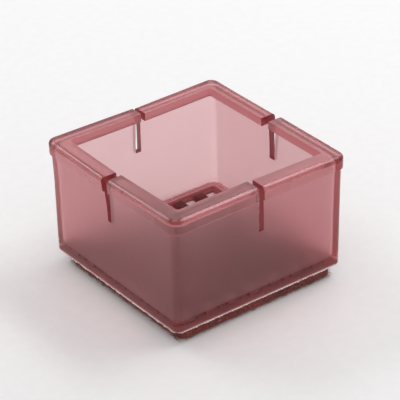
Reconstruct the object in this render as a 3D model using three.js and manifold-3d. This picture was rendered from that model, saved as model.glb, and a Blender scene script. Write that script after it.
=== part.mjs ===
// A square chair leg cap: a translucent silicone cup with a slit collar, on felt that is backed with cloth.
// Millimetres, +Z up. The origin is on the floor, under the middle of the cup.

import * as THREE from 'three';
import { mergeVertices } from 'three/addons/utils/BufferGeometryUtils.js';
import Module from 'manifold-3d';

// Mouth and walls of the cup. The mouth is the leg's size, and the rest is built outwards from it.
const MOUTH = 38.0; // clear width between opposite lips
const LIP_OVERHANG = 2.05; // how far the lip reaches in over the well
const LIP_HEIGHT = 2.0;
const LIP_CORNER = 0.6; // plan radius of the mouth's corners
const WALL = 1.5;
const WELL_CORNER = 1.4; // plan radius of the well's upright corners
const WALL_CORNER = 1.8; // plan radius of the wall's outer corners
const DRAFT = 0.15; // how much narrower the cup is at its base, on each side
const CUP_HEIGHT = 27.05; // underside of the moulding to the top of the collar

// Collar round the mouth.
const COLLAR_STEP = 0.45; // how far the collar stands proud of the wall
const COLLAR_HEIGHT = 3.3;
const COLLAR_ROUND = 0.9; // radius of the collar's top outer edge

// One slit in the middle of each side lets the mouth spread over the leg.
const SLIT_WIDTH = 1.2;
const SLIT_DEPTH = 10.6; // from the top of the collar down

// Floor of the cup, with a shallow recess and a grid of windows down to the cloth.
const FLOOR = 1.6;
const FLOOR_FILLET = 0.6; // between the floor and the walls
const LEDGE = 1.2; // flat border between the well's wall and the recess
const RECESS_DEPTH = 0.3;
const RECESS_CORNER = 1.0;
const RECESS_BORDER = 0.4; // strip of the recess left round the windows
const WINDOW = 3.5;
const RIB = 2.3; // between neighbouring windows

// Pad under the cup.
const CLOTH_THICKNESS = 0.4;
const CLOTH_INSET = 0.1; // from the cup's base to the cloth's edge
const FELT_THICKNESS = 3.0;
const FELT_INSET = 1.7; // from the cup's base to the felt's side
const FELT_CORNER = 2.2;
const FELT_ROUND = 0.7; // radius of the felt's lower edge
const FELT_SHIFT = 0.65; // the pad is stuck on a little off the middle, towards -Y

const ARC_STEPS = 6; // flats in each rounded corner
const FILLET_STEPS = 4; // flats across each rounded edge
const OVERCUT = 1.0; // how far a cutter passes the face that it opens

// Sizes and levels that follow.
const mouthHalf = MOUTH / 2;
const wellHalf = mouthHalf + LIP_OVERHANG;
const wallHalf = wellHalf + WALL;
const collarHalf = wallHalf + COLLAR_STEP;
const baseHalf = wallHalf - DRAFT;
const wellFloorHalf = wellHalf - DRAFT;
const recessHalf = wellFloorHalf - LEDGE;
const windowsHalf = recessHalf - RECESS_BORDER;

const clothBottom = FELT_THICKNESS;
const cupBottom = clothBottom + CLOTH_THICKNESS;
const floorTop = cupBottom + FLOOR;
const recessTop = floorTop - RECESS_DEPTH;
const cupTop = cupBottom + CUP_HEIGHT;
const collarBottom = cupTop - COLLAR_HEIGHT;
const lipBottom = cupTop - LIP_HEIGHT;
const slitBottom = cupTop - SLIT_DEPTH;

const wasm = await Module();
wasm.setup();

// A square ring with rounded corners, counter-clockwise, at one level.
function ring(half, corner, z) {
  const centre = half - corner;
  const points = [];
  for (let side = 0; side < 4; side += 1) {
    const start = (side * Math.PI) / 2;
    const sx = side === 0 || side === 3 ? 1 : -1;
    const sy = side < 2 ? 1 : -1;
    for (let step = 0; step <= ARC_STEPS; step += 1) {
      const turn = start + (step / ARC_STEPS) * (Math.PI / 2);
      const x = sx * centre + corner * Math.cos(turn);
      const y = sy * centre + corner * Math.sin(turn);
      points.push(new THREE.Vector3(x, y, z));
    }
  }
  return points;
}

// A closed solid through a stack of rings, from the lowest to the highest.
function loft(rings) {
  const count = rings[0].length;
  const middle = (points) => new THREE.Vector3(0, 0, points[0].z);
  const vertices = [...rings.flat(), middle(rings[0]), middle(rings[rings.length - 1])];
  const bottom = rings.length * count;
  const top = bottom + 1;
  const faces = [];
  for (let i = 0; i < count; i += 1) {
    const next = (i + 1) % count;
    for (let level = 0; level + 1 < rings.length; level += 1) {
      const low = level * count;
      const high = low + count;
      faces.push(low + i, low + next, high + next, low + i, high + next, high + i);
    }
    const last = (rings.length - 1) * count;
    faces.push(bottom, next, i, top, last + i, last + next);
  }
  const geometry = new THREE.BufferGeometry().setFromPoints(vertices);
  geometry.setIndex(faces);
  return geometry;
}

// Rings of a quarter round whose centre is at level z, below or above an upright face at `side`.
function roundRings(side, corner, z, radius, from, to) {
  const rings = [];
  for (let step = 0; step <= FILLET_STEPS; step += 1) {
    const turn = THREE.MathUtils.degToRad(from + ((to - from) * step) / FILLET_STEPS);
    const inset = radius * (1 - Math.cos(turn));
    rings.push(ring(side - inset, Math.max(corner - inset, 0), z + radius * Math.sin(turn)));
  }
  return rings;
}

function solid(geometry) {
  geometry.deleteAttribute('normal');
  geometry.deleteAttribute('uv');
  const merged = mergeVertices(geometry, 1e-5);
  return new wasm.Manifold(
    new wasm.Mesh({
      numProp: 3,
      vertProperties: new Float32Array(merged.attributes.position.array),
      triVerts: new Uint32Array(merged.index.array),
    }),
  );
}

function geometryOf(manifold) {
  const { vertProperties, triVerts } = manifold.getMesh();
  const geometry = new THREE.BufferGeometry();
  geometry.setAttribute('position', new THREE.BufferAttribute(vertProperties, 3));
  geometry.setIndex(new THREE.BufferAttribute(triVerts, 1));
  geometry.computeVertexNormals();
  return geometry;
}

function box(width, length, bottom, top) {
  const height = top - bottom;
  return solid(new THREE.BoxGeometry(width, length, height).translate(0, 0, bottom + height / 2));
}

// Outside of the cup: drafted wall, then the collar with its rounded top edge.
function cupOutside() {
  const collarCorner = WALL_CORNER + COLLAR_STEP;
  return solid(
    loft([
      ring(baseHalf, WALL_CORNER, cupBottom),
      ring(wallHalf, WALL_CORNER, collarBottom),
      ring(collarHalf, collarCorner, collarBottom),
      ...roundRings(collarHalf, collarCorner, cupTop - COLLAR_ROUND, COLLAR_ROUND, 0, 90),
    ]),
  );
}

// Inside of the cup: the well with its filleted floor, then the narrower mouth between the lips.
function cupInside() {
  const well = loft([
    ...roundRings(wellFloorHalf, WELL_CORNER, floorTop + FLOOR_FILLET, FLOOR_FILLET, -90, 0),
    ring(wellHalf, WELL_CORNER, lipBottom),
  ]);
  const mouth = loft([
    ring(mouthHalf, LIP_CORNER, floorTop + FLOOR_FILLET),
    ring(mouthHalf, LIP_CORNER, cupTop + OVERCUT),
  ]);
  return solid(well).add(solid(mouth));
}

// Cuts for the four slits: one blade across each way.
function slits() {
  const across = 2 * (collarHalf + OVERCUT);
  const alongX = box(across, SLIT_WIDTH, slitBottom, cupTop + OVERCUT);
  const alongY = box(SLIT_WIDTH, across, slitBottom, cupTop + OVERCUT);
  return alongX.add(alongY);
}

// Shallow recess in the floor, and the windows that go on down through it.
function floorCuts() {
  const recess = solid(
    loft([ring(recessHalf, RECESS_CORNER, recessTop), ring(recessHalf, RECESS_CORNER, floorTop + OVERCUT)]),
  );
  const pitch = WINDOW + RIB;
  const perSide = Math.floor((2 * windowsHalf + RIB) / pitch);
  const first = (-(perSide - 1) * pitch) / 2;
  let windows = recess;
  for (let column = 0; column < perSide; column += 1) {
    for (let row = 0; row < perSide; row += 1) {
      const window = box(WINDOW, WINDOW, cupBottom - OVERCUT, recessTop + RECESS_DEPTH / 2);
      windows = windows.add(window.translate(first + column * pitch, first + row * pitch, 0));
    }
  }
  return windows;
}

function siliconeCap() {
  const cup = cupOutside().subtract(cupInside()).subtract(slits()).subtract(floorCuts());
  const material = new THREE.MeshStandardMaterial({ color: '#bd8286', roughness: 0.45, metalness: 0 });
  return named('silicone_cap', geometryOf(cup), material);
}

function backingCloth() {
  const half = baseHalf - CLOTH_INSET;
  const corner = WALL_CORNER - CLOTH_INSET;
  const sheet = loft([ring(half, corner, clothBottom), ring(half, corner, cupBottom)]);
  const material = new THREE.MeshStandardMaterial({ color: '#e6d6d3', roughness: 0.9, metalness: 0 });
  return named('backing_cloth', geometryOf(solid(sheet)), material);
}

function feltPad() {
  const half = baseHalf - FELT_INSET;
  const pad = loft([
    ...roundRings(half, FELT_CORNER, FELT_ROUND, FELT_ROUND, -90, 0),
    ring(half, FELT_CORNER, clothBottom),
  ]);
  const material = new THREE.MeshStandardMaterial({ color: '#6b3a33', roughness: 1, metalness: 0 });
  const mesh = named('felt_pad', geometryOf(solid(pad)), material);
  mesh.position.y = -FELT_SHIFT;
  return mesh;
}

function named(name, geometry, material) {
  const mesh = new THREE.Mesh(geometry, material);
  mesh.name = name;
  return mesh;
}

const legCap = new THREE.Group();
legCap.add(siliconeCap(), backingCloth(), feltPad());

export default legCap;
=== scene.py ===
"""A square chair leg cap: a frosted silicone cup with a slit collar, on felt backed with woven cloth."""

import math

import bpy
import numpy as np
from mathutils import Matrix, Vector, noise
from mathutils.geometry import delaunay_2d_cdt


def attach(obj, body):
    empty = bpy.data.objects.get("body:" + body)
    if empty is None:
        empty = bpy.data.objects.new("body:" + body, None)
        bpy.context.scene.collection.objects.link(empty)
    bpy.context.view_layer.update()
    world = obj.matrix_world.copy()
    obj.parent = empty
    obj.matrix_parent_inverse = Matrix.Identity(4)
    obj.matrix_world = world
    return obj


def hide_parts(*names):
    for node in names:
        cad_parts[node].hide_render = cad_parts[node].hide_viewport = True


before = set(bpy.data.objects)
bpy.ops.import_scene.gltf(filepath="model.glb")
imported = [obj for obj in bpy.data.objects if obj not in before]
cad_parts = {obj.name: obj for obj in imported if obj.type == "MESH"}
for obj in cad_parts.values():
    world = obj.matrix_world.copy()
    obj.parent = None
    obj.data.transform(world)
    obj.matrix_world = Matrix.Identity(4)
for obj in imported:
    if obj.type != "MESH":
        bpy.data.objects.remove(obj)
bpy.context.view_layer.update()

MM = 0.001  # sizes below are in millimetres, in the part's own frame

# The cup, as in the part.
MOUTH_HALF = 19.0
WELL_HALF = 21.05
WALL_HALF = 22.55
COLLAR_HALF = 23.0
DRAFT = 0.15
LIP_CORNER = 0.6
WELL_CORNER = 1.4
WALL_CORNER = 1.8
COLLAR_CORNER = 2.25
COLLAR_ROUND = 0.9
FLOOR_FILLET = 0.6
RECESS_HALF = 19.7
RECESS_CORNER = 1.0
WINDOW = 3.5
WINDOW_PITCH = 5.8
WINDOWS_A_SIDE = 7
SLIT_WIDTH = 1.2
FELT_TOP = 3.0
CUP_BOTTOM = 3.4
FLOOR_TOP = 5.0
RECESS_TOP = 4.7
SLIT_BOTTOM = 19.85
COLLAR_BOTTOM = 27.15
LIP_BOTTOM = 28.45
CUP_TOP = 30.45
BOND_LEVEL = 3.17  # the moulding's underside, sunk into the cloth's weave
BASE_HALF = WALL_HALF - DRAFT
WELL_FLOOR_HALF = WELL_HALF - DRAFT

# Roundings of a moulded edge, too small for the part.
BASE_ROUND = 0.08
COLLAR_FILLET = 0.15
COLLAR_LOW_ROUND = 0.2
MOUTH_ROUND = 0.16
LIP_LOW_ROUND = 0.14
LIP_FILLET = 0.2
RECESS_ROUND = 0.12
WINDOW_ROUND = 0.15
WINDOW_CORNER = 0.4
SLIT_ROUND = 0.06
FLAT_FROM = 44.0  # degrees up the collar's rounded edge, which has a narrow flat
FLAT_TO = 76.0
LEAST_CORNER = 0.05  # plan radius that every ring keeps
SAME_LEVEL = 0.01

# Where the cup's mesh has its rings and columns.
BAND_TOP = 5.55  # outside, the band at the level of the cup's floor ends here
BAND_BLEND = 0.12
CUT_LEVEL = SLIT_BOTTOM - SLIT_ROUND
WALL_LEVELS = (4.2, 5.0, BAND_TOP, BAND_TOP + BAND_BLEND, 6.5, 8.5, 11.0, 13.5, 16.0, 18.0, CUT_LEVEL)
CUT_WALL_LEVELS = (20.5, 22.3, 24.3, 26.2, 26.8)
CUT_WELL_LEVELS = (27.7, 26.0, 24.0, 22.0, 20.5)
WELL_LEVELS = (CUT_LEVEL, 18.0, 16.0, 13.5, 11.0, 8.5, 6.5)
RIM_SHARES = (0.1, 0.5, 0.9)  # across the flat top of the collar
SIDE_STEPS = 9  # between a slit and a corner
END_STEP = 0.03  # share of that way, for one more column at each end
CORNER_STEPS = 8
WINDOW_CORNER_STEPS = 4
SLIT_TURNS = (30, 60, 90)  # degrees round the edge of a cut

# Roughness of the cup's surfaces, and how deeply each is tinted; some of these tints are painted shade and
# painted light, as marked.
WALL_FROST = 0.42
BASE_FROST = 0.27  # outside, on the band at the level of the cup's floor
COLLAR_FROST = 0.3
ROUND_FROST = 0.25  # on the collar's rounded top edge
WELL_FROST = 0.52
FOOT_FROST = 0.85  # inside, low on the -X and -Y walls
FOOT_HEIGHT = 8.0
FOOT_REACH = 14.0
FOOT_BLEND = 6.0
TOP_FROST = 0.38
CUT_FROST = 0.5
LEDGE_FROST = 0.16
# Untinted, so that the ledge round the floor reads as painted light beside the shaded ribs.
LEDGE_PAINTED_LIGHT = 0.0
WALL_STAIN = 0.13
COLLAR_STAIN = 0.32
ROUND_PAINTED_SHADE = 0.55  # painted shade on the collar's rounded top edge, darkening the light that comes through it
FLAT_PAINTED_SHADE = 0.3  # lighter painted shade on the flat of that edge, so that the lamp's highlight on it reads as a light strip
RIM_STAIN = 0.06
LIP_STAIN = 0.66
CORNER_FROM = 19.6  # the rounded edge has deeper painted shade at the corners
CORNER_BLEND = 1.6
CORNER_PAINTED_SHADE = 0.85
CORNER_SHARE = 0.9  # of the rounded edge's height
# Untinted, so that the collar's low rounded edge reads as a painted light line.
LOW_ROUND_PAINTED_LIGHT = 0.0
# Painted shade on the outside band at the level of the cup's floor.
BAND_PAINTED_SHADE = 0.36
# Painted shade on the slits' cut faces.
CUT_PAINTED_SHADE = 0.85
# Painted shade on the ribs between the floor's windows, and on the windows' walls.
RIB_PAINTED_SHADE = 0.75
WINDOW_PAINTED_SHADE = 0.86

# How far each corner section of the collar leans outwards at its top, along X and along Y.
# Each is given near the corner, then near the slit.
LEAN = {
    (-1, -1): ((-0.13, 0.36), (0.03, -0.22)),
    (-1, 1): ((0.22, 0.70), (0.12, -0.06)),
    (1, -1): ((-0.28, -0.05), (0.45, 0.06)),
    (1, 1): ((-0.22, -0.4), (0.38, -0.36)),
}

# How far the collar's cut ends stand off along their side at the top: on the X side, then on the Y side.
CUT_SHIFT = {
    (-1, -1): (0.0, -0.33),
    (-1, 1): (0.25, 0.45),
    (1, -1): (-0.5, 0.0),
    (1, 1): (-0.2, 0.0),
}
CUT_REACH = 7.0
SIDE_FROM = MOUTH_HALF - 2.0  # points further out than this belong to a side
LEFT_SLIT_SHIFT = 0.4  # the slit in the -X side is cut a little off the middle
LEFT_SLIT_BLEND = 10.0

# How far the two far slits gape below the collar, on one side of each.
GAPE = {
    (-1, 1): (0.0, -0.2),
    (1, -1): (-0.42, 0.0),
}
GAPE_BELOW = 3.0
GAPE_TOP = 29.0
GAPE_FADE = 5.0

# Slow waves over the whole cup, as in any soft moulding.
WAVE_SCALE = 0.11
WAVE_HEIGHT = 0.05
WAVE_SEED = 5.3

# The pad.
CLOTH_HALF = 22.2
CLOTH_CORNER = 1.7
FELT_HALF = 20.7
FELT_CORNER = 2.2
FELT_ROUND = 0.7
FELT_SHIFT = -0.65


# Rings and profiles


def side_steps(reach):
    """Shares of the way from a slit to a corner where a ring has a point."""
    return [0.0, END_STEP] + [i / reach for i in range(1, reach)] + [1 - END_STEP, 1.0]


def ring(half, corner, steps, middle, arc=CORNER_STEPS):
    """Rounded square, counter-clockwise from the low end of the +X side, with `middle` clear at mid-side."""
    straight = half - corner
    right = [middle + (straight - middle) * t for t in steps]
    along = [-s for s in reversed(right)] + right
    side = [(half, s) for s in along]
    for i in range(1, arc):
        turn = i / arc * math.pi / 2
        side.append((straight + corner * math.cos(turn), straight + corner * math.sin(turn)))
    points = []
    for _ in range(4):
        points += side
        side = [(-y, x) for x, y in side]
    return points


def arc(half, z, radius, start, end, steps):
    """(half, z) along part of a circle, angles in degrees."""
    turns = [math.radians(start + (end - start) * i / steps) for i in range(steps + 1)]
    return [(half + radius * math.cos(t), z + radius * math.sin(t)) for t in turns]


def cup_profile():
    """Rings of the cup as (half, corner, z): up the outside, over the collar and down to the recess."""
    rings = []

    def add(points, half, corner):
        rings.extend((h, max(corner + h - half, LEAST_CORNER), z) for h, z in points)

    centre = (BASE_HALF - BASE_ROUND, BOND_LEVEL + BASE_ROUND)
    add(arc(*centre, BASE_ROUND, -90, 0, 4), BASE_HALF, WALL_CORNER)
    rise = COLLAR_BOTTOM - CUP_BOTTOM
    for z in WALL_LEVELS + CUT_WALL_LEVELS:
        rings.append((BASE_HALF + DRAFT * (z - CUP_BOTTOM) / rise, WALL_CORNER, z))
    centre = (WALL_HALF + COLLAR_FILLET, COLLAR_BOTTOM - COLLAR_FILLET)
    add(arc(*centre, COLLAR_FILLET, 180, 90, 3), WALL_HALF, WALL_CORNER)
    centre = (COLLAR_HALF - COLLAR_LOW_ROUND, COLLAR_BOTTOM + COLLAR_LOW_ROUND)
    add(arc(*centre, COLLAR_LOW_ROUND, -90, 0, 4), COLLAR_HALF, COLLAR_CORNER)
    rings.append((COLLAR_HALF, COLLAR_CORNER, (COLLAR_BOTTOM + CUP_TOP) / 2))
    centre = (COLLAR_HALF - COLLAR_ROUND, CUP_TOP - COLLAR_ROUND)
    add(arc(*centre, COLLAR_ROUND, 0, FLAT_FROM, 4), COLLAR_HALF, COLLAR_CORNER)
    add(arc(*centre, COLLAR_ROUND, FLAT_TO, 90, 2), COLLAR_HALF, COLLAR_CORNER)
    for share in RIM_SHARES:
        half = (COLLAR_HALF - COLLAR_ROUND) * (1 - share) + (MOUTH_HALF + MOUTH_ROUND) * share
        corner = (COLLAR_CORNER - COLLAR_ROUND) * (1 - share) + (LIP_CORNER + MOUTH_ROUND) * share
        rings.append((half, corner, CUP_TOP))
    centre = (MOUTH_HALF + MOUTH_ROUND, CUP_TOP - MOUTH_ROUND)
    add(arc(*centre, MOUTH_ROUND, 90, 180, 5), MOUTH_HALF, LIP_CORNER)
    rings.append((MOUTH_HALF, LIP_CORNER, (CUP_TOP + LIP_BOTTOM) / 2))
    centre = (MOUTH_HALF + LIP_LOW_ROUND, LIP_BOTTOM + LIP_LOW_ROUND)
    add(arc(*centre, LIP_LOW_ROUND, 180, 270, 5), MOUTH_HALF, LIP_CORNER)
    centre = (WELL_HALF - LIP_FILLET, LIP_BOTTOM - LIP_FILLET)
    add(arc(*centre, LIP_FILLET, 90, 0, 4), WELL_HALF, WELL_CORNER)
    drop = LIP_BOTTOM - FLOOR_TOP
    for z in CUT_WELL_LEVELS + WELL_LEVELS:
        rings.append((WELL_FLOOR_HALF + DRAFT * (z - FLOOR_TOP) / drop, WELL_CORNER, z))
    centre = (WELL_FLOOR_HALF - FLOOR_FILLET, FLOOR_TOP + FLOOR_FILLET)
    add(arc(*centre, FLOOR_FILLET, 0, -90, 5), WELL_FLOOR_HALF, WELL_CORNER)
    centre = (RECESS_HALF + RECESS_ROUND, FLOOR_TOP - RECESS_ROUND)
    add(arc(*centre, RECESS_ROUND, 90, 180, 3), RECESS_HALF, RECESS_CORNER)
    rings.append((RECESS_HALF, RECESS_CORNER, RECESS_TOP))
    cut = [k for k, r in enumerate(rings) if r[2] == CUT_LEVEL]
    well = (MOUTH_HALF + WELL_HALF) / 2
    inside = next(k for k, r in enumerate(rings) if r[2] == LIP_BOTTOM and r[0] > well)
    collar = next(k for k, r in enumerate(rings) if r[2] >= COLLAR_BOTTOM)
    floor = next(k for k, r in enumerate(rings) if k > inside and r[2] < FLOOR_TOP + FLOOR_FILLET)
    top = next(k for k, r in enumerate(rings) if r[2] == CUP_TOP)
    shoulder = CUP_TOP - COLLAR_ROUND
    frost = [BASE_FROST if r[2] <= BAND_TOP + BAND_BLEND else WALL_FROST for r in rings[:collar]]
    frost += [COLLAR_FROST if r[2] < shoulder else ROUND_FROST for r in rings[collar:top]]
    frost += [TOP_FROST] * (inside - top)
    frost += [WELL_FROST] * (floor - inside) + [LEDGE_FROST] * (len(rings) - floor)
    # The outside band at the floor's level gets painted shade.
    tint_and_shade = [BAND_PAINTED_SHADE if r[2] <= BAND_TOP else WALL_STAIN for r in rings[:collar]]
    low_round = COLLAR_BOTTOM + COLLAR_LOW_ROUND
    face = [r for r in rings[collar:top] if r[2] < shoulder]
    # The low rounded edge is left untinted as painted light; the top rounded edge gets painted shade,
    # lighter on its flat.
    tint_and_shade += [LOW_ROUND_PAINTED_LIGHT if r[2] < low_round else COLLAR_STAIN for r in face]
    flat = [shoulder + COLLAR_ROUND * math.sin(math.radians(a)) for a in (FLAT_FROM, FLAT_TO)]
    for r in rings[len(tint_and_shade) : top]:
        tint_and_shade.append(FLAT_PAINTED_SHADE if min(abs(r[2] - z) for z in flat) < SAME_LEVEL else ROUND_PAINTED_SHADE)
    tint_and_shade += [LIP_STAIN if r[0] < MOUTH_HALF + MOUTH_ROUND / 2 else RIM_STAIN for r in rings[top:inside]]
    tint_and_shade += [WALL_STAIN] * (floor - inside)
    tint_and_shade += [LEDGE_PAINTED_LIGHT] * (len(rings) - floor - 1) + [RIB_PAINTED_SHADE]
    return rings, cut[0], cut[1], frost, tint_and_shade


def share_of(value):
    """A value held between 0 and 1."""
    return min(max(value, 0), 1)


def quarter_turns(points, times):
    """XYZ points turned about Z by quarter turns."""
    for _ in range(times):
        points = [(-y, x, z) for x, y, z in points]
    return points


def cup_mesh():
    """Vertices and faces of the whole moulding, closed, before it leans."""
    rings, first, last, ring_frost, ring_tint_and_shade = cup_profile()
    steps = side_steps(SIDE_STEPS)
    clear = SLIT_WIDTH / 2 + SLIT_ROUND
    verts, faces = [], []
    for half, corner, z in rings:
        verts += [(x, y, z) for x, y in ring(half, corner, steps, clear)]
    count = len(verts) // len(rings)
    frost = [value for value in ring_frost for _ in range(count)]
    tint_and_shade = [value for value in ring_tint_and_shade for _ in range(count)]
    edge = COLLAR_HALF - COLLAR_ROUND
    for i, (x, y, z) in enumerate(verts):
        near, far = sorted((abs(x), abs(y)))
        inside = i >= last * count and FLOOR_TOP + FLOOR_FILLET / 2 < z < FOOT_HEIGHT
        if inside and min(x, y) < -RECESS_HALF:
            frost[i] += (FOOT_FROST - frost[i]) * share_of((FOOT_REACH - max(x, y)) / FOOT_BLEND)
        # Deeper painted shade on the rounded top edge near the corners.
        if CUP_TOP - CORNER_SHARE * COLLAR_ROUND < z < CUP_TOP and far > edge:
            tint_and_shade[i] += (CORNER_PAINTED_SHADE - tint_and_shade[i]) * share_of((near - CORNER_FROM) / CORNER_BLEND)
    per = count // 4
    left_columns = [q * per + len(steps) - 1 for q in range(4)]
    for k in range(len(rings) - 1):
        for j in range(count):
            if j in left_columns and first <= k < last:
                continue
            n = (j + 1) % count
            faces.append((k * count + j, k * count + n, (k + 1) * count + n, (k + 1) * count + j))

    # Section of the wall at a slit, and its inward normals.
    section = np.array([(rings[k][0], rings[k][2]) for k in range(first, last + 1)])
    way = np.diff(np.vstack([section[:1] - (0, 1), section, section[-1:] - (0, 1)]), axis=0)
    way /= np.linalg.norm(way, axis=1)[:, None]
    normal = np.stack([-way[:, 1], way[:, 0]], axis=1)
    mean = normal[:-1] + normal[1:]
    inward = mean / (np.einsum("ij,ij->i", mean, normal[:-1]))[:, None]
    turns = [math.radians(a) for a in SLIT_TURNS]
    for q, jl in enumerate(left_columns):
        columns = {-1: [[k * count + jl for k in range(first, last + 1)]]}
        columns[1] = [[k * count + jl + 1 for k in range(first, last + 1)]]
        for sign in (-1, 1):
            for turn in turns:
                moved = section + inward * SLIT_ROUND * (1 - math.cos(turn))
                moved[[0, -1], 1] = CUT_LEVEL + SLIT_ROUND * math.sin(turn)
                s = sign * (clear - SLIT_ROUND * math.sin(turn))
                start = len(verts)
                verts += quarter_turns([(u, s, z) for u, z in moved], q)
                columns[sign].append(list(range(start, start + len(moved))))
        for a, b in zip(columns[-1][:-1], columns[-1][1:]):
            faces += [(a[i], b[i], b[i + 1], a[i + 1]) for i in range(len(a) - 1)]
        for a, b in zip(columns[1][:-1], columns[1][1:]):
            faces += [(b[i], a[i], a[i + 1], b[i + 1]) for i in range(len(a) - 1)]
        for m in range(len(turns)):
            la, lb, ra, rb = columns[-1][m], columns[-1][m + 1], columns[1][m], columns[1][m + 1]
            faces.append((la[0], ra[0], rb[0], lb[0]))
            faces.append((lb[-1], rb[-1], ra[-1], la[-1]))
        left, right = columns[-1][-1], columns[1][-1]
        faces.append(tuple(reversed(left)))
        faces.append(tuple(right))
        faces.append((left[0], right[0], right[-1], left[-1]))

    frost += [CUT_FROST] * (len(verts) - len(frost))
    # The slits' cut faces get painted shade.
    tint_and_shade += [CUT_PAINTED_SHADE] * (len(verts) - len(tint_and_shade))

    # Windows through the floor, and the flats round them above and below.
    top_loops, low_loops = [], []
    reach = (WINDOWS_A_SIDE - 1) / 2
    centre = (WINDOW / 2 + WINDOW_ROUND, RECESS_TOP - WINDOW_ROUND)
    walls = [(h - WINDOW / 2, z) for h, z in arc(*centre, WINDOW_ROUND, 90, 180, 3)]
    walls.append((0.0, BOND_LEVEL))
    for column in range(WINDOWS_A_SIDE):
        for row in range(WINDOWS_A_SIDE):
            cx, cy = (column - reach) * WINDOW_PITCH, (row - reach) * WINDOW_PITCH
            loops = []
            for out, z in walls:
                outline = ring(WINDOW / 2 + out, WINDOW_CORNER + out, [1.0], 0.0, WINDOW_CORNER_STEPS)
                loops.append(list(range(len(verts), len(verts) + len(outline))))
                verts += [(cx + x, cy + y, z) for x, y in outline]
            for a, b in zip(loops[:-1], loops[1:]):
                for i in range(len(a)):
                    n = (i + 1) % len(a)
                    faces.append((a[i], a[n], b[n], b[i]))
            top_loops.append(loops[0])
            low_loops.append(loops[-1])
    base = (len(rings) - 1) * count
    faces += flat_faces(verts, list(range(base, base + count)), top_loops, True)
    faces += flat_faces(verts, list(range(count)), low_loops, False)
    frost += [WELL_FROST] * (len(verts) - len(frost))
    loop = len(top_loops[0])
    # Painted shade on the ribs and the window walls.
    rims = [RIB_PAINTED_SHADE] * loop + [WINDOW_PAINTED_SHADE] * (loop * (len(walls) - 1))
    tint_and_shade += rims * len(top_loops)
    return np.array(verts), faces, {"frost": frost, "tint_and_shade": tint_and_shade}


def flat_faces(verts, outline, holes, upwards):
    """Triangles between an outline and the holes in it, all at one level."""
    loops = [outline] + holes
    index = [i for loop in loops for i in loop]
    points = [Vector(verts[i][:2]) for i in index]
    edges, owner, start = [], [], 0
    for number, loop in enumerate(loops):
        edges += [(start + i, start + (i + 1) % len(loop)) for i in range(len(loop))]
        owner += [number] * len(loop)
        start += len(loop)
    _, _, found, sources, _, _ = delaunay_2d_cdt(points, edges, [], 1, 1e-6)
    made = []
    for face in found:
        own = [sources[i][0] for i in face]
        if owner[own[0]] and len({owner[i] for i in own}) == 1:
            continue
        a, b, c = (points[i] for i in own)
        turned = (b - a).cross(c - a) > 0
        corners = [index[i] for i in own]
        made.append(tuple(corners if turned == upwards else reversed(corners)))
    return made


def lean(points):
    """Leans the four corner sections of the cup, above the slits' ends."""
    rise = np.clip((points[:, 2] - SLIT_BOTTOM) / (CUP_TOP - SLIT_BOTTOM), 0, 1)
    rise = rise ** 2 * (3 - rise) / 2  # as a strip bends that is held at one end
    moved = points.copy()
    for (sx, sy), (x_lean, y_lean) in LEAN.items():
        mine = (points[:, 0] * sx >= 0) & (points[:, 1] * sy >= 0)
        for axis, sign, (at_corner, at_slit) in ((0, sx, x_lean), (1, sy, y_lean)):
            along = np.abs(points[:, 1 - axis])
            share = np.clip((along - SLIT_WIDTH / 2) / (COLLAR_HALF - SLIT_WIDTH / 2), 0, 1)
            out = at_slit + (at_corner - at_slit) * share
            moved[mine, axis] += (sign * out * rise)[mine]
            near = np.exp(-(along / CUT_REACH) ** 2) * (points[:, axis] * sign > SIDE_FROM)
            gape = np.clip((points[:, 2] - SLIT_BOTTOM) / GAPE_BELOW + 1, 0, 1)
            gape *= np.clip((GAPE_TOP - points[:, 2]) / GAPE_FADE, 0, 1) * GAPE.get((sx, sy), (0, 0))[axis]
            moved[mine, 1 - axis] += ((CUT_SHIFT[(sx, sy)][axis] * rise + gape) * near)[mine]
    near = np.exp(-(points[:, 1] / CUT_REACH) ** 2) * (points[:, 0] < -SIDE_FROM)
    moved[:, 1] += LEFT_SLIT_SHIFT * near * np.clip((points[:, 2] - FLOOR_TOP) / LEFT_SLIT_BLEND, 0, 1)
    return moved


def waved(points, scale, height, seed):
    """Points moved a little by smooth noise."""
    starts = [Vector((seed, 0, 0)), Vector((0, seed, 0)), Vector((0, 0, seed))]
    shift = np.array([[noise.noise(Vector(p) * scale + start) for start in starts] for p in points])
    return points + shift * height


def make(name, verts, faces, material, smooth=True):
    mesh = bpy.data.meshes.new(name)
    mesh.from_pydata([tuple(v * MM) for v in np.asarray(verts)], [], faces)
    mesh.polygons.foreach_set("use_smooth", [smooth] * len(mesh.polygons))
    mesh.update()
    piece = bpy.data.objects.new(name, mesh)
    bpy.context.scene.collection.objects.link(piece)
    mesh.materials.append(material)
    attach(piece, "root")
    return piece


# The pad's cloth and felt


THREAD = 0.74  # distance between threads of the cloth
THREAD_SAMPLES = 4
THREAD_ROUND = 0.1
THREAD_WAVE = 0.07
THREAD_FULLNESS = 3.2  # the higher, the narrower a thread's rounded top
CLOTH_MIDDLE = 3.19
CLOTH_SEED = 11
FRAY = 0.46  # length of the longest thread end
SHORTEST_END = 0.45  # share of that
DRY_EDGE = 0.2
WINDOW_BULGE = 0.35
WINDOW_BULGE_INSET = 0.08
WINDOW_BULGE_POWER = 6  # the higher, the flatter the bulge's top
MOST_WINDOW_SHADE = 0.68  # painted shade, in the windows by the -X and -Y walls
WINDOW_SHADE_FROM = 8.0
WINDOW_SHADE_BLEND = 14.0
# The cloth under the ledge is left light as painted light, except where x or y is below minus this.
LIT_LEDGE_REACH = 16.0


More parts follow.
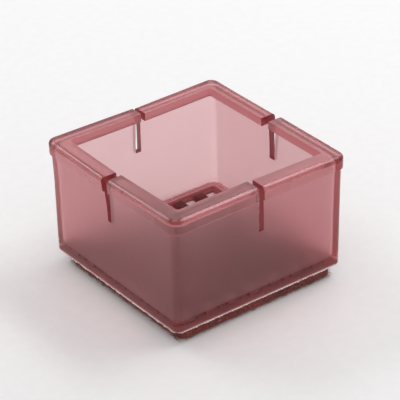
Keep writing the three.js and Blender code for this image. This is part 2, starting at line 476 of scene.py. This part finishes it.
def cloth_mesh(random):
    """Plain weave: a closed sheet whose faces follow the threads, with their cut ends round its edge."""
    cells = int(round(2 * CLOTH_HALF / THREAD)) * THREAD_SAMPLES
    line = np.linspace(-CLOTH_HALF, CLOTH_HALF, cells + 1)
    x, y = np.meshgrid(line, line, indexing="ij")
    ends = random.uniform(SHORTEST_END, 1.0, (4, cells // THREAD_SAMPLES + 2))
    thread_x = np.floor((x + CLOTH_HALF) / THREAD).astype(int)
    thread_y = np.floor((y + CLOTH_HALF) / THREAD).astype(int)
    off_x = (x + CLOTH_HALF) / THREAD - thread_x - 0.5
    off_y = (y + CLOTH_HALF) / THREAD - thread_y - 0.5
    round_x = np.sqrt(np.clip(1 - THREAD_FULLNESS * off_x ** 2, 0, 1))
    round_y = np.sqrt(np.clip(1 - THREAD_FULLNESS * off_y ** 2, 0, 1))
    up_x = np.where((thread_x + thread_y) % 2 == 0, 1, -1) * np.cos(math.pi * off_y) * THREAD_WAVE
    up_y = np.where((thread_x + thread_y) % 2 == 0, -1, 1) * np.cos(math.pi * off_x) * THREAD_WAVE
    top = np.maximum(up_x + THREAD_ROUND * round_x, up_y + THREAD_ROUND * round_y)
    low = np.minimum(up_x - THREAD_ROUND * round_x, up_y - THREAD_ROUND * round_y)
    out_x, out_y = np.zeros_like(x), np.zeros_like(y)
    out_x[0, :] = -FRAY * ends[0][thread_y[0, :]] * round_y[0, :]
    out_x[-1, :] = FRAY * ends[1][thread_y[-1, :]] * round_y[-1, :]
    out_y[:, 0] = -FRAY * ends[2][thread_x[:, 0]] * round_x[:, 0]
    out_y[:, -1] = FRAY * ends[3][thread_x[:, -1]] * round_x[:, -1]
    inner = CLOTH_HALF - CLOTH_CORNER
    dx, dy = np.clip(np.abs(x) - inner, 0, None), np.clip(np.abs(y) - inner, 0, None)
    pull = np.where((dx > 0) & (dy > 0), np.maximum(dx, dy) / np.maximum(np.hypot(dx, dy), 1e-9), 1.0)
    px = np.sign(x) * (np.minimum(np.abs(x), inner) + dx * pull) + out_x
    py = np.sign(y) * (np.minimum(np.abs(y), inner) + dy * pull) + out_y
    n = cells + 1
    above = np.stack([px, py, CLOTH_MIDDLE + top], axis=-1).reshape(-1, 3)
    below = np.stack([px, py, CLOTH_MIDDLE + low], axis=-1).reshape(-1, 3)
    faces = []
    for i in range(cells):
        for j in range(cells):
            a, b, c, d = i * n + j, (i + 1) * n + j, (i + 1) * n + j + 1, i * n + j + 1
            faces.append((a, b, c, d))
            faces.append((d + n * n, c + n * n, b + n * n, a + n * n))
    rim = [(i, 0) for i in range(cells)] + [(cells, j) for j in range(cells)]
    rim += [(i, cells) for i in range(cells, 0, -1)] + [(0, j) for j in range(cells, 0, -1)]
    rim = [i * n + j for i, j in rim]
    for a, b in zip(rim, rim[1:] + rim[:1]):
        faces.append((b, a, a + n * n, b + n * n))
    return np.concatenate([above, below]), faces


def bulged(points):
    """The cloth, pushed up by the felt in the floor's windows."""
    first = (WINDOWS_A_SIDE - 1) / 2 * WINDOW_PITCH
    rise = np.full(len(points), WINDOW_BULGE)
    for axis in (0, 1):
        nearest = np.clip(np.round((points[:, axis] + first) / WINDOW_PITCH), 0, WINDOWS_A_SIDE - 1)
        off = np.abs(points[:, axis] - (nearest * WINDOW_PITCH - first)) / (WINDOW / 2 - WINDOW_BULGE_INSET)
        rise *= np.clip(1 - off ** WINDOW_BULGE_POWER, 0, 1)
    moved = points.copy()
    moved[:, 2] += rise
    return moved


def soak_and_painted_shade(points):
    """How dark each point of the cloth is made. It is full under the cup's floor, where silicone has filled
    it, and that also serves as painted shade under the ribs and the front walls. In the windows it is
    painted shade, deepest by the -X and -Y walls. It is none at the edge, and none under the back of the
    ledge, which is painted light.
    """
    first = (WINDOWS_A_SIDE - 1) / 2 * WINDOW_PITCH
    inside = np.ones(len(points), bool)
    for axis in (0, 1):
        nearest = np.clip(np.round((points[:, axis] + first) / WINDOW_PITCH), 0, WINDOWS_A_SIDE - 1)
        inside &= np.abs(points[:, axis] - (nearest * WINDOW_PITCH - first)) < WINDOW / 2
    reach = np.abs(points[:, :2]).max(axis=1)
    # Painted light under the back of the ledge, and painted shade in the windows by the -X and -Y walls.
    ledge = (points[:, :2].max(axis=1) > RECESS_HALF) & (points[:, :2].min(axis=1) > -LIT_LEDGE_REACH)
    window_shade = MOST_WINDOW_SHADE * np.clip((WINDOW_SHADE_FROM - points[:, :2].min(axis=1)) / WINDOW_SHADE_BLEND, 0, 1)
    return np.where(ledge | (reach > CLOTH_HALF - DRY_EDGE), 0.0, np.where(inside, window_shade, 1.0))


FELT_RINGS = 26  # on the underside
FELT_ROUND_RINGS = 5
FELT_SIDE_RINGS = 9
FELT_TOP_RINGS = 8
FELT_SIDE_STEPS = 50
FELT_CORNER_STEPS = 10
FELT_MIDDLE = 0.2  # half of the gap that the steps leave at mid-side
FELT_MIDDLE_SHARE = 0.05
FELT_INNER_CORNER = 0.3  # share of the corner's radius that the inner rings keep
FELT_RELIEF = 0.1
LUMPS = ((0.9, 1.0), (2.3, 0.6))  # broad and fine: how many to a millimetre, and how high
LUMP_SEEDS = (3.1, 17.7)
SIDE_START = 0.1  # the relief of the sides grows from this level
SIDE_BLEND = 0.5
UNDER_TOP = 0.4
EDGE_MARGIN = 0.2


def lump(point, seed):
    """Height of the needled surface at a point: broad lumps and fine ones."""
    (broad, high), (fine, low) = LUMPS
    height = high * noise.noise(Vector(point) * broad + Vector((seed, 0, 0)))
    return height + low * noise.noise(Vector(point) * fine + Vector((0, seed, 0)))


def felt_mesh():
    """The pad, with a lumpy needled surface on its sides and underside."""
    steps = [i / FELT_SIDE_STEPS for i in range(FELT_SIDE_STEPS + 1)]
    rings = [(FELT_HALF * i / FELT_RINGS, 0.0) for i in range(1, FELT_RINGS)]
    rings += arc(FELT_HALF - FELT_ROUND, FELT_ROUND, FELT_ROUND, -90, 0, FELT_ROUND_RINGS)
    upright = FELT_TOP - FELT_ROUND
    rings += [(FELT_HALF, FELT_ROUND + upright * i / FELT_SIDE_RINGS) for i in range(1, FELT_SIDE_RINGS + 1)]
    rings += [(FELT_HALF * (1 - i / FELT_TOP_RINGS), FELT_TOP) for i in range(1, FELT_TOP_RINGS)]
    verts = []
    for half, z in rings:
        least = FELT_INNER_CORNER * half * FELT_CORNER / FELT_HALF
        corner = max(min(FELT_CORNER + half - FELT_HALF, FELT_CORNER), least)
        middle = min(FELT_MIDDLE, half * FELT_MIDDLE_SHARE)
        verts += [(x, y, z) for x, y in ring(half, corner, steps, middle, FELT_CORNER_STEPS)]
    count = len(verts) // len(rings)
    faces = []
    for k in range(len(rings) - 1):
        for j in range(count):
            n = (j + 1) % count
            faces.append((k * count + j, k * count + n, (k + 1) * count + n, (k + 1) * count + j))
    faces.append(tuple(reversed(range(count))))
    faces.append(tuple(range((len(rings) - 1) * count, len(rings) * count)))
    points = np.array(verts)
    lumps = np.array([[lump(p, seed) for seed in LUMP_SEEDS] for p in points])
    side = np.clip((points[:, 2] - SIDE_START) / SIDE_BLEND, 0, 1) * (points[:, 2] < FELT_TOP - SAME_LEVEL)
    reach = np.abs(points[:, :2]).max(axis=1)
    out = points[:, :2] / np.maximum(reach, 1e-6)[:, None]
    edge = reach > FELT_HALF - FELT_ROUND - EDGE_MARGIN
    points[:, :2] += out * (FELT_RELIEF * lumps[:, 0] * np.maximum(side, 0.5) * edge)[:, None]
    under = points[:, 2] < UNDER_TOP
    points[:, 2] += under * FELT_RELIEF * np.abs(lumps[:, 1])
    points[:, 1] += FELT_SHIFT
    return points, faces


FIBRES = 5200
FIBRE_SEED = 23
FIBRE_STEPS = 5
FIBRE_SIDES = 3
FIBRE_LENGTH = (0.5, 1.7)
FIBRE_RADIUS = (0.018, 0.04)
FIBRE_TAPER = 0.6
FIBRE_LIFT = (0.05, 0.45)  # how steeply a fibre leaves the felt
FIBRE_BEND = (0.1, 0.6)
FIBRE_FLATNESS = 0.9
FIBRE_ROOT = 0.12  # depth of a root in the felt's side
FIBRE_FLOOR_ROOT = 0.16  # height of a root under it
FIBRE_INSET = 0.8  # from the corner, on the sides
FIBRE_FLOOR_INSET = 1.0
FIBRE_MARGIN = 0.1
FIBRE_DIP = 0.1  # how far a fibre may go into the felt, and out of it
FIBRE_OUT = 0.26
FIBRE_FLOOR_OUT = 0.3
FIBRE_LOWEST = 0.05
FIBRE_TOP_GAP = 0.06


def fibre_mesh(random, count):
    """Loose fibres on the felt's sides and under it: each a bent strand with a shade of its own."""
    verts, faces, shade = [], [], []
    for _ in range(count):
        side = random.integers(0, 5)
        if side < 4:
            s = random.uniform(-1, 1) * (FELT_HALF - FIBRE_INSET)
            z = random.uniform(FIBRE_MARGIN, FELT_TOP - FIBRE_MARGIN)
            base = np.array([FELT_HALF - FIBRE_ROOT, s, z])
            outward = np.array([1.0, 0, 0])
        else:
            place = random.uniform(-1, 1, 2) * (FELT_HALF - FIBRE_FLOOR_INSET)
            base = np.array([*place, FIBRE_FLOOR_ROOT])
            outward = np.array([0, 0, -1.0])
        way = random.normal(0, 1, 3)
        way -= outward * (way @ outward) * FIBRE_FLATNESS
        way = way / np.linalg.norm(way) + outward * random.uniform(*FIBRE_LIFT)
        bend = np.cross(way, random.normal(0, 1, 3))
        bend /= np.linalg.norm(bend)
        length, radius = random.uniform(*FIBRE_LENGTH), random.uniform(*FIBRE_RADIUS)
        t = np.linspace(0, 1, FIBRE_STEPS + 1)[:, None]
        path = base + way * t * length + bend * (t ** 2) * length * random.uniform(*FIBRE_BEND)
        drop = path - base
        if side < 4:
            path[:, 0] = base[0] + np.clip(drop[:, 0], -FIBRE_DIP, FIBRE_OUT)
        else:
            path[:, 2] = base[2] + np.clip(drop[:, 2], -FIBRE_DIP, FIBRE_FLOOR_OUT)
        turned = np.array(quarter_turns([tuple(p) for p in path], int(side) if side < 4 else 0))
        turned[:, 1] += FELT_SHIFT
        turned[:, 2] = np.clip(turned[:, 2], FIBRE_LOWEST, FELT_TOP - FIBRE_TOP_GAP)
        u = np.cross(way, bend)
        u /= np.linalg.norm(u)
        start = len(verts)
        for i, p in enumerate(turned):
            thick = radius * (1 - FIBRE_TAPER * (i / FIBRE_STEPS) ** 2)
            for turn in (math.tau * a / FIBRE_SIDES for a in range(FIBRE_SIDES)):
                verts.append(p + (u * math.cos(turn) + bend * math.sin(turn)) * thick)
        for i in range(FIBRE_STEPS):
            for a in range(FIBRE_SIDES):
                p, q = (start + FIBRE_SIDES * i + k % FIBRE_SIDES for k in (a, a + 1))
                faces.append((p, q, q + FIBRE_SIDES, p + FIBRE_SIDES))
        faces.append(tuple(reversed(range(start, start + FIBRE_SIDES))))
        faces.append(tuple(range(len(verts) - FIBRE_SIDES, len(verts))))
        shade += [random.uniform(0, 1)] * (len(verts) - start)
    return np.array(verts), faces, shade


# Materials


def new_material(name):
    material = bpy.data.materials.new(name)
    material.use_nodes = True
    tree = material.node_tree
    shader = tree.nodes["Principled BSDF"]
    return material, tree, shader


def add_node(tree, kind, links=(), **values):
    """A node with its values set and its inputs linked. links are (input name, socket)."""
    made = tree.nodes.new(kind)
    for name, value in values.items():
        if hasattr(made, name):
            setattr(made, name, value)
        else:
            made.inputs[name].default_value = value
    for name, socket in links:
        tree.links.new(socket, made.inputs[name])
    return made


def ramp(tree, factor, stops):
    """A colour ramp through (place, colour) stops."""
    made = tree.nodes.new("ShaderNodeValToRGB")
    tree.links.new(factor, made.inputs["Fac"])
    elements = made.color_ramp.elements
    while len(elements) < len(stops):
        elements.new(0.5)
    for element, (place, colour) in zip(elements, stops):
        element.position = place
        element.color = (*colour, 1) if len(colour) == 3 else (colour[0], colour[0], colour[0], 1)
    return made


SCRATCH_TURN = (0.5, 0.9, 0.3)
SCRATCH_STRETCH = (1.0, 1.0, 0.4)
SCRATCH_SPACING = 170.0
SILICONE_DENSITY = 212.0  # per metre
SILICONE_PASS = (0.88, 0.21, 0.26)
SILICONE_IOR = 1.41
# Colours of the cup's tint, from clear to deep red; the deep end also serves as painted shade.
TINT_AND_SHADE_STOPS = [
    (0.0, (1.0, 0.95, 0.955)),
    (0.25, (0.94, 0.79, 0.8)),
    (0.8, (0.34, 0.11, 0.12)),
    (1.0, (0.06, 0.02, 0.02)),
]


def silicone_material():
    material, tree, shader = new_material("silicone")
    place = add_node(tree, "ShaderNodeTexCoord").outputs["Object"]
    cloud = add_node(tree, "ShaderNodeTexNoise", [("Vector", place)], Scale=90.0, Detail=6.0)
    grain = add_node(tree, "ShaderNodeTexNoise", [("Vector", place)], Scale=2600.0, Detail=2.0)
    tint = ramp(tree, cloud.outputs["Fac"], [(0.3, (0.94, 0.92, 0.92)), (0.7, (1.0, 1.0, 1.0))])
    frost = add_node(tree, "ShaderNodeAttribute", attribute_name="frost")
    # This attribute carries the silicone's own tint and the painted shade and light of the cup.
    tint_and_shade = add_node(tree, "ShaderNodeAttribute", attribute_name="tint_and_shade")
    depth = ramp(tree, tint_and_shade.outputs["Fac"], TINT_AND_SHADE_STOPS)
    colour = add_node(tree, "ShaderNodeMix", data_type="RGBA", blend_type="MULTIPLY")
    colour.inputs["Factor"].default_value = 1.0
    tree.links.new(depth.outputs["Color"], colour.inputs[6])
    tree.links.new(tint.outputs["Color"], colour.inputs[7])
    rough = add_node(tree, "ShaderNodeMath", [(0, frost.outputs["Fac"])], operation="MULTIPLY")
    uneven = ramp(tree, cloud.outputs["Fac"], [(0.3, (0.85,)), (0.7, (1.0,))])
    tree.links.new(uneven.outputs["Color"], rough.inputs[1])
    turned = {"Rotation": SCRATCH_TURN, "Scale": SCRATCH_STRETCH}
    stretched = add_node(tree, "ShaderNodeMapping", [("Vector", place)], **turned).outputs["Vector"]
    spots = add_node(tree, "ShaderNodeTexVoronoi", [("Vector", stretched)], Scale=SCRATCH_SPACING)
    scratch = ramp(tree, spots.outputs["Distance"], [(0.05, (1.0,)), (0.08, (0.0,))])
    both = [(0, rough.outputs["Value"]), (1, scratch.outputs["Color"])]
    scuffed = add_node(tree, "ShaderNodeMath", both, operation="MAXIMUM")
    height = [("Height", grain.outputs["Fac"])]
    bump = add_node(tree, "ShaderNodeBump", height, Strength=0.06, Distance=0.0001)
    tree.links.new(colour.outputs[2], shader.inputs["Base Color"])
    tree.links.new(scuffed.outputs["Value"], shader.inputs["Roughness"])
    tree.links.new(bump.outputs["Normal"], shader.inputs["Normal"])
    shader.inputs["Transmission Weight"].default_value = 1.0
    shader.inputs["IOR"].default_value = SILICONE_IOR
    shader.inputs["Specular IOR Level"].default_value = 1.0
    inside = add_node(tree, "ShaderNodeVolumeAbsorption", Density=SILICONE_DENSITY)
    inside.inputs["Color"].default_value = (*SILICONE_PASS, 1)
    tree.links.new(inside.outputs["Volume"], tree.nodes["Material Output"].inputs["Volume"])
    return material


def cloth_material():
    material, tree, shader = new_material("cloth")
    place = add_node(tree, "ShaderNodeTexCoord").outputs["Object"]
    # The darker colour is silicone-filled cloth and painted shade; the lighter one is clear cloth, and
    # painted light on the back of the ledge.
    soak_and_shade = add_node(tree, "ShaderNodeAttribute", attribute_name="soak_and_painted_shade")
    slub = add_node(tree, "ShaderNodeTexNoise", [("Vector", place)], Scale=1500.0, Detail=3.0)
    dry_and_lit = ramp(tree, slub.outputs["Fac"], [(0.3, (0.9, 0.8, 0.79)), (0.7, (0.98, 0.93, 0.92))])
    wet_and_shaded = ramp(tree, slub.outputs["Fac"], [(0.3, (0.37, 0.195, 0.19)), (0.7, (0.52, 0.28, 0.275))])
    mix = add_node(tree, "ShaderNodeMix", data_type="RGBA")
    tree.links.new(soak_and_shade.outputs["Fac"], mix.inputs["Factor"])
    tree.links.new(dry_and_lit.outputs["Color"], mix.inputs[6])
    tree.links.new(wet_and_shaded.outputs["Color"], mix.inputs[7])
    tree.links.new(mix.outputs[2], shader.inputs["Base Color"])
    height = [("Height", slub.outputs["Fac"])]
    bump = add_node(tree, "ShaderNodeBump", height, Strength=0.4, Distance=0.00005)
    tree.links.new(bump.outputs["Normal"], shader.inputs["Normal"])
    shader.inputs["Roughness"].default_value = 0.9
    return material


def felt_material():
    material, tree, shader = new_material("felt")
    place = add_node(tree, "ShaderNodeTexCoord").outputs["Object"]
    knots = {"Scale": 900.0, "Detail": 6.0, "Distortion": 2.0}
    tangle = add_node(tree, "ShaderNodeTexNoise", [("Vector", place)], **knots)
    blotch = add_node(tree, "ShaderNodeTexNoise", [("Vector", place)], Scale=160.0, Detail=2.0)
    stops = [(0.3, (0.09, 0.01, 0.01)), (0.5, (0.19, 0.024, 0.024)), (0.7, (0.38, 0.068, 0.036))]
    fine = ramp(tree, tangle.outputs["Fac"], stops)
    broad = ramp(tree, blotch.outputs["Fac"], [(0.35, (0.75, 0.75, 0.75)), (0.65, (1.1, 1.1, 1.1))])
    mix = add_node(tree, "ShaderNodeMix", data_type="RGBA", blend_type="MULTIPLY")
    mix.inputs["Factor"].default_value = 1.0
    tree.links.new(fine.outputs["Color"], mix.inputs[6])
    tree.links.new(broad.outputs["Color"], mix.inputs[7])
    tree.links.new(mix.outputs[2], shader.inputs["Base Color"])
    height = [("Height", tangle.outputs["Fac"])]
    bump = add_node(tree, "ShaderNodeBump", height, Strength=0.8, Distance=0.0002)
    tree.links.new(bump.outputs["Normal"], shader.inputs["Normal"])
    shader.inputs["Roughness"].default_value = 0.95
    shader.inputs["Sheen Weight"].default_value = 0.3
    return material


def fibre_material():
    material, tree, shader = new_material("felt_fibre")
    own = add_node(tree, "ShaderNodeAttribute", attribute_name="shade")
    dark = [(0.0, (0.07, 0.008, 0.008)), (0.4, (0.2, 0.026, 0.022))]
    light = [(0.75, (0.46, 0.1, 0.04)), (1.0, (0.74, 0.3, 0.11))]
    tone = ramp(tree, own.outputs["Fac"], dark + light)
    tree.links.new(tone.outputs["Color"], shader.inputs["Base Color"])
    shader.inputs["Roughness"].default_value = 0.8
    shader.inputs["Sheen Weight"].default_value = 0.2
    return material


def floor_material():
    material, tree, shader = new_material("studio_floor")
    place = add_node(tree, "ShaderNodeTexCoord").outputs["Object"]
    grain = add_node(tree, "ShaderNodeTexNoise", [("Vector", place)], Scale=400.0, Detail=2.0)
    tone = ramp(tree, grain.outputs["Fac"], [(0.3, (0.86, 0.852, 0.855)), (0.7, (0.88, 0.872, 0.875))])
    tree.links.new(tone.outputs["Color"], shader.inputs["Base Color"])
    shader.inputs["Roughness"].default_value = 0.8
    shader.inputs["Specular IOR Level"].default_value = 0.2
    return material


# The pieces

cup_points, cup_faces, cup_frost_tint_and_shade = cup_mesh()
cup_points = waved(lean(cup_points), WAVE_SCALE, WAVE_HEIGHT, WAVE_SEED)
cup = make("silicone_cup", cup_points, cup_faces, silicone_material())
cup.modifiers.new("edges", "WEIGHTED_NORMAL").mode = "FACE_AREA"
for layer_name, values in cup_frost_tint_and_shade.items():
    cup.data.attributes.new(layer_name, "FLOAT", "POINT").data.foreach_set("value", values)
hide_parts("silicone_cap")

cloth_points, cloth_faces = cloth_mesh(np.random.default_rng(CLOTH_SEED))
cloth = make("woven_cloth", bulged(cloth_points), cloth_faces, cloth_material())
cloth.data.attributes.new("soak_and_painted_shade", "FLOAT", "POINT").data.foreach_set("value", soak_and_painted_shade(cloth_points))
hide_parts("backing_cloth")

felt_points, felt_faces = felt_mesh()
felt = make("felt_body", felt_points, felt_faces, felt_material())
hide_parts("felt_pad")

fibre_points, fibre_faces, fibre_shades = fibre_mesh(np.random.default_rng(FIBRE_SEED), FIBRES)
fibres = make("felt_fibres", fibre_points, fibre_faces, fibre_material())
fibres.data.attributes.new("shade", "FLOAT", "POINT").data.foreach_set("value", fibre_shades)

# Studio: floor, light and camera

FLOOR_REACH = 3.0  # metres
WORLD_STRENGTH = 0.64
LIGHT_TARGET = (0, 0, 0.015)  # metres, as are the lights' places and sizes
floor_mesh = bpy.data.meshes.new("studio_floor")
corners = [(x * FLOOR_REACH, y * FLOOR_REACH, 0) for x, y in ((-1, -1), (1, -1), (1, 1), (-1, 1))]
floor_mesh.from_pydata(corners, [], [(0, 1, 2, 3)])
floor_mesh.materials.append(floor_material())
floor = bpy.data.objects.new("studio_floor", floor_mesh)
bpy.context.scene.collection.objects.link(floor)

world = bpy.data.worlds.new("studio")
world.use_nodes = True
world.node_tree.nodes["Background"].inputs["Color"].default_value = (1.0, 1.0, 1.0, 1)
world.node_tree.nodes["Background"].inputs["Strength"].default_value = WORLD_STRENGTH
bpy.context.scene.world = world


def softbox(name, place, width, height, power):
    light = bpy.data.lights.new(name, "AREA")
    light.shape = "RECTANGLE"
    light.size, light.size_y = width, height
    light.energy = power
    lamp = bpy.data.objects.new(name, light)
    lamp.location = place
    lamp.rotation_mode = "QUATERNION"
    lamp.rotation_quaternion = (Vector(LIGHT_TARGET) - Vector(place)).to_track_quat("-Z", "Y")
    bpy.context.scene.collection.objects.link(lamp)


softbox("right_light", (0.335, -0.085, 0.55), width=0.32, height=0.14, power=1.02)
softbox("left_light", (-0.137, 0.447, 0.452), width=0.32, height=0.14, power=0.8)
softbox("back_light", (0.42, 0.2, 0.36), width=0.5, height=0.4, power=0.5)

# The camera that the photograph's edges give. Angles in degrees, and lengths in collar widths.
CAMERA_TURN = 53.1918
CAMERA_HEIGHT = 30.45
CAMERA_ROLL = -1.2471
CAMERA_OFFSET = (-0.0120, 0.2557, 9.8176)
CAMERA_FOCUS = 2052.9  # pixels, in a picture 400 wide
PICTURE_WIDTH = 400
SENSOR = 36.0


def photo_camera():
    turn, height, roll = (math.radians(a) for a in (CAMERA_TURN, CAMERA_HEIGHT, CAMERA_ROLL))
    ahead = Vector((math.cos(turn) * math.cos(height), math.sin(turn) * math.cos(height), -math.sin(height)))
    right = Vector((math.sin(turn), -math.cos(turn), 0))
    down = ahead.cross(right)
    axes = Matrix.Rotation(roll, 3, "Z") @ Matrix((right, down, ahead))
    place = axes.transposed() @ -Vector(CAMERA_OFFSET) * (2 * COLLAR_HALF) + Vector((0, 0, CUP_BOTTOM))
    data = bpy.data.cameras.new("photo_camera")
    data.sensor_width = SENSOR
    data.lens = CAMERA_FOCUS / PICTURE_WIDTH * SENSOR
    data.clip_start, data.clip_end = 0.01, 50.0
    camera = bpy.data.objects.new("photo_camera", data)
    turned = Matrix((axes[0], -axes[1], -axes[2])).transposed().to_4x4()
    camera.matrix_world = Matrix.Translation(place * MM) @ turned
    bpy.context.scene.collection.objects.link(camera)
    bpy.context.scene.camera = camera


photo_camera()

scene = bpy.context.scene
scene.view_settings.view_transform = "Standard"
scene.cycles.max_bounces = 32
scene.cycles.transmission_bounces = 32
scene.cycles.glossy_bounces = 8
scene.cycles.diffuse_bounces = 6
